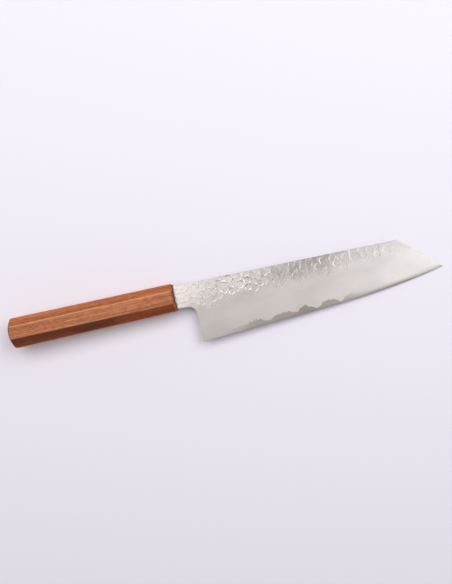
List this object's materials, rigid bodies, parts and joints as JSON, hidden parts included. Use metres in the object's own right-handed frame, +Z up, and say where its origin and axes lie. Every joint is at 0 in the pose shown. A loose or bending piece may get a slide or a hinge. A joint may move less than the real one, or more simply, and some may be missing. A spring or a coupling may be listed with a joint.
{
  "type": "kitchen knife",
  "caption": "Three-layer chef's knife with a clipped tip, hammered flanks over a wide satin bevel, a wavy core line and a tapered octagonal wooden handle with a domed butt.",
  "frame": {"origin": "bottom centre of the overall box, with the knife lying on its left face", "axes": "+X along the handle's axis from the butt to the tip, +Y from the cutting edge to the spine, +Z up through the blade's thickness, out of its right face"},
  "size_m": [0.3706, 0.0546, 0.021],
  "materials": {
    "core_steel": "satin, darker from etching",
    "cladding_steel": "hammered along the spine, satin below",
    "handle_wood": "oiled, straight grain",
    "dowel_wood": "raw",
    "resin": "cured epoxy, dark"
  },
  "bodies": {
    "root": {"blade_core": "core_steel", "cladding_right": "cladding_steel", "cladding_left": "cladding_steel", "handle_body": "handle_wood", "tang_dowel": "dowel_wood", "bedding_resin": "resin"}
  },
  "joints": []
}
